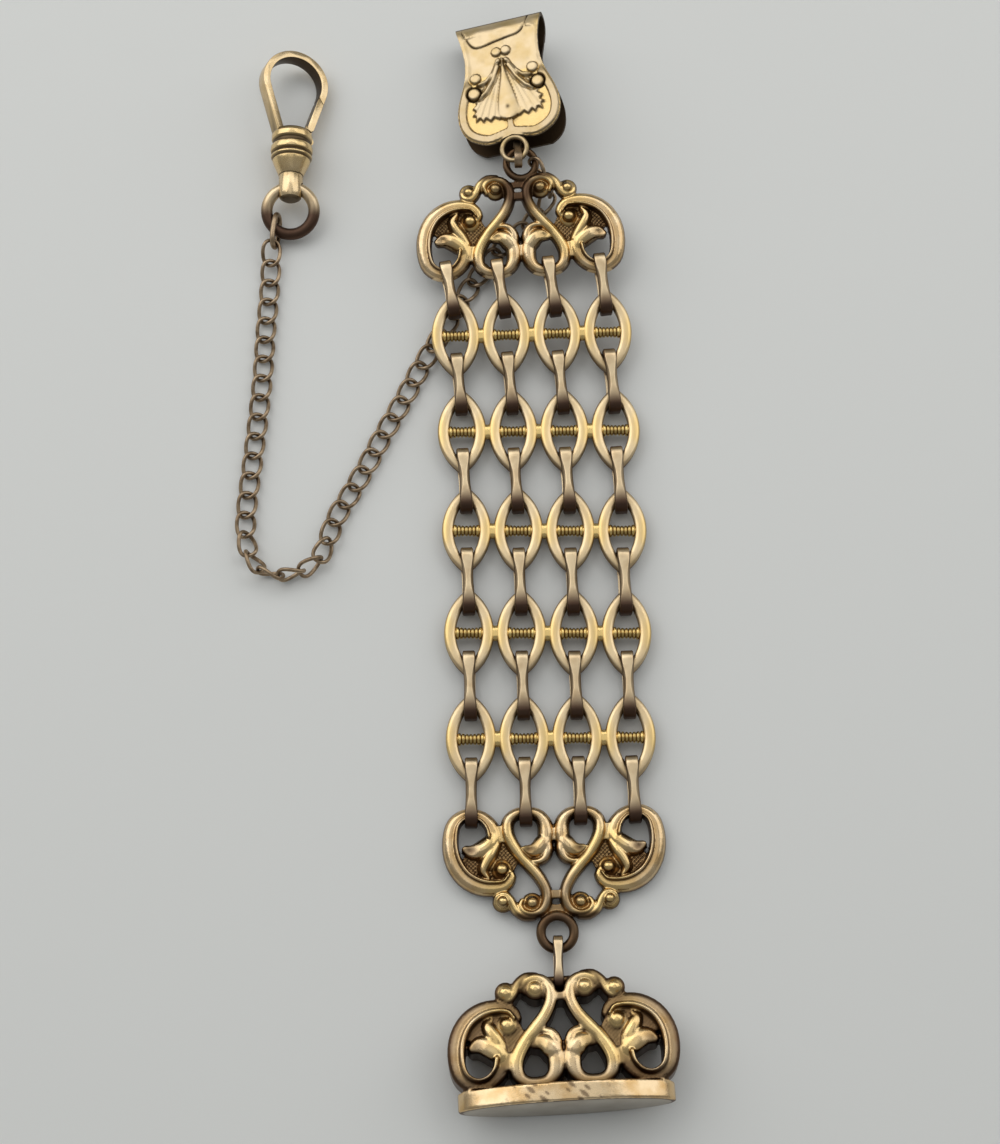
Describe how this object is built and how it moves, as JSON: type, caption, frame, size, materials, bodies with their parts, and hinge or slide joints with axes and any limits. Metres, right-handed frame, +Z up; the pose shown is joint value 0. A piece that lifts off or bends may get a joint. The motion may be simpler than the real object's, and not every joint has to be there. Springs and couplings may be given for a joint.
{
  "type": "chatelaine",
  "caption": "Waist chatelaine laid flat: spring clip, mesh band of ovals between two pierced scroll plates, oval fob seal, and a curb chain with a swivel hook.",
  "frame": {"origin": "centre of the whole piece's bounding box, on the surface it lies on", "axes": "+X across the band towards the side away from the chain, +Y up the band towards the waist clip, +Z up from the surface"},
  "size_m": [0.0477, 0.1308, 0.0082],
  "materials": {
    "pale_gilt": "pale gilt brass with a satin polish, worn browner at the joints",
    "cast_gilt": "cast and stamped gilt brass, yellow in the recesses, paler on the crests",
    "worn_brown_gilt": "gilt worn through to brown tarnished brass",
    "darkened_wire": "dark brown tarnished brass wire",
    "grey_plate": "dull grey, lightly domed blank seal plate"
  },
  "bodies": {
    "root": {"waist_clip": "cast_gilt", "clip_ring": "darkened_wire", "top_plate": "cast_gilt", "link_row_1": "pale_gilt", "link_row_2": "pale_gilt", "link_row_3": "pale_gilt", "link_row_4": "pale_gilt", "link_row_5": "pale_gilt", "connector_r1_c1": "worn_brown_gilt", "connector_r1_c2": "worn_brown_gilt", "connector_r1_c3": "worn_brown_gilt", "connector_r1_c4": "worn_brown_gilt", "connector_r2_c1": "worn_brown_gilt", "connector_r2_c2": "worn_brown_gilt", "connector_r2_c3": "worn_brown_gilt", "connector_r2_c4": "worn_brown_gilt", "connector_r3_c1": "worn_brown_gilt", "connector_r3_c2": "worn_brown_gilt", "connector_r3_c3": "worn_brown_gilt", "connector_r3_c4": "worn_brown_gilt", "connector_r4_c1": "worn_brown_gilt", "connector_r4_c2": "worn_brown_gilt", "connector_r4_c3": "worn_brown_gilt", "connector_r4_c4": "worn_brown_gilt", "connector_r5_c1": "worn_brown_gilt", "connector_r5_c2": "worn_brown_gilt", "connector_r5_c3": "worn_brown_gilt", "connector_r5_c4": "worn_brown_gilt", "connector_r6_c1": "worn_brown_gilt", "connector_r6_c2": "worn_brown_gilt", "connector_r6_c3": "worn_brown_gilt", "connector_r6_c4": "worn_brown_gilt", "bottom_plate": "cast_gilt", "fob_link": "worn_brown_gilt", "fob_mount": "pale_gilt", "seal_plate": "grey_plate", "watch_chain": "darkened_wire", "chain_ring": "darkened_wire", "swivel_ring": "worn_brown_gilt", "swivel_stem": "pale_gilt"},
    "hook": {"swivel_hook": "pale_gilt"},
    "gate": {"gate": "pale_gilt"}
  },
  "joints": [
    {"name": "swivel", "type": "hinge", "parent": "root", "child": "hook", "pos_m": [-0.01644, 0.04741, 0.00261], "axis": [0.0419, 0.9991, 0], "continuous": true},
    {"name": "gate_hinge", "type": "hinge", "parent": "hook", "child": "gate", "pos_m": [-0.0145, 0.05088, 0.00177], "axis": [0.4222, -0.0177, 0.9063], "range_deg": [0, 30], "stiffness_Nm_per_rad": 0.002, "springref_deg": -11.46}
  ]
}
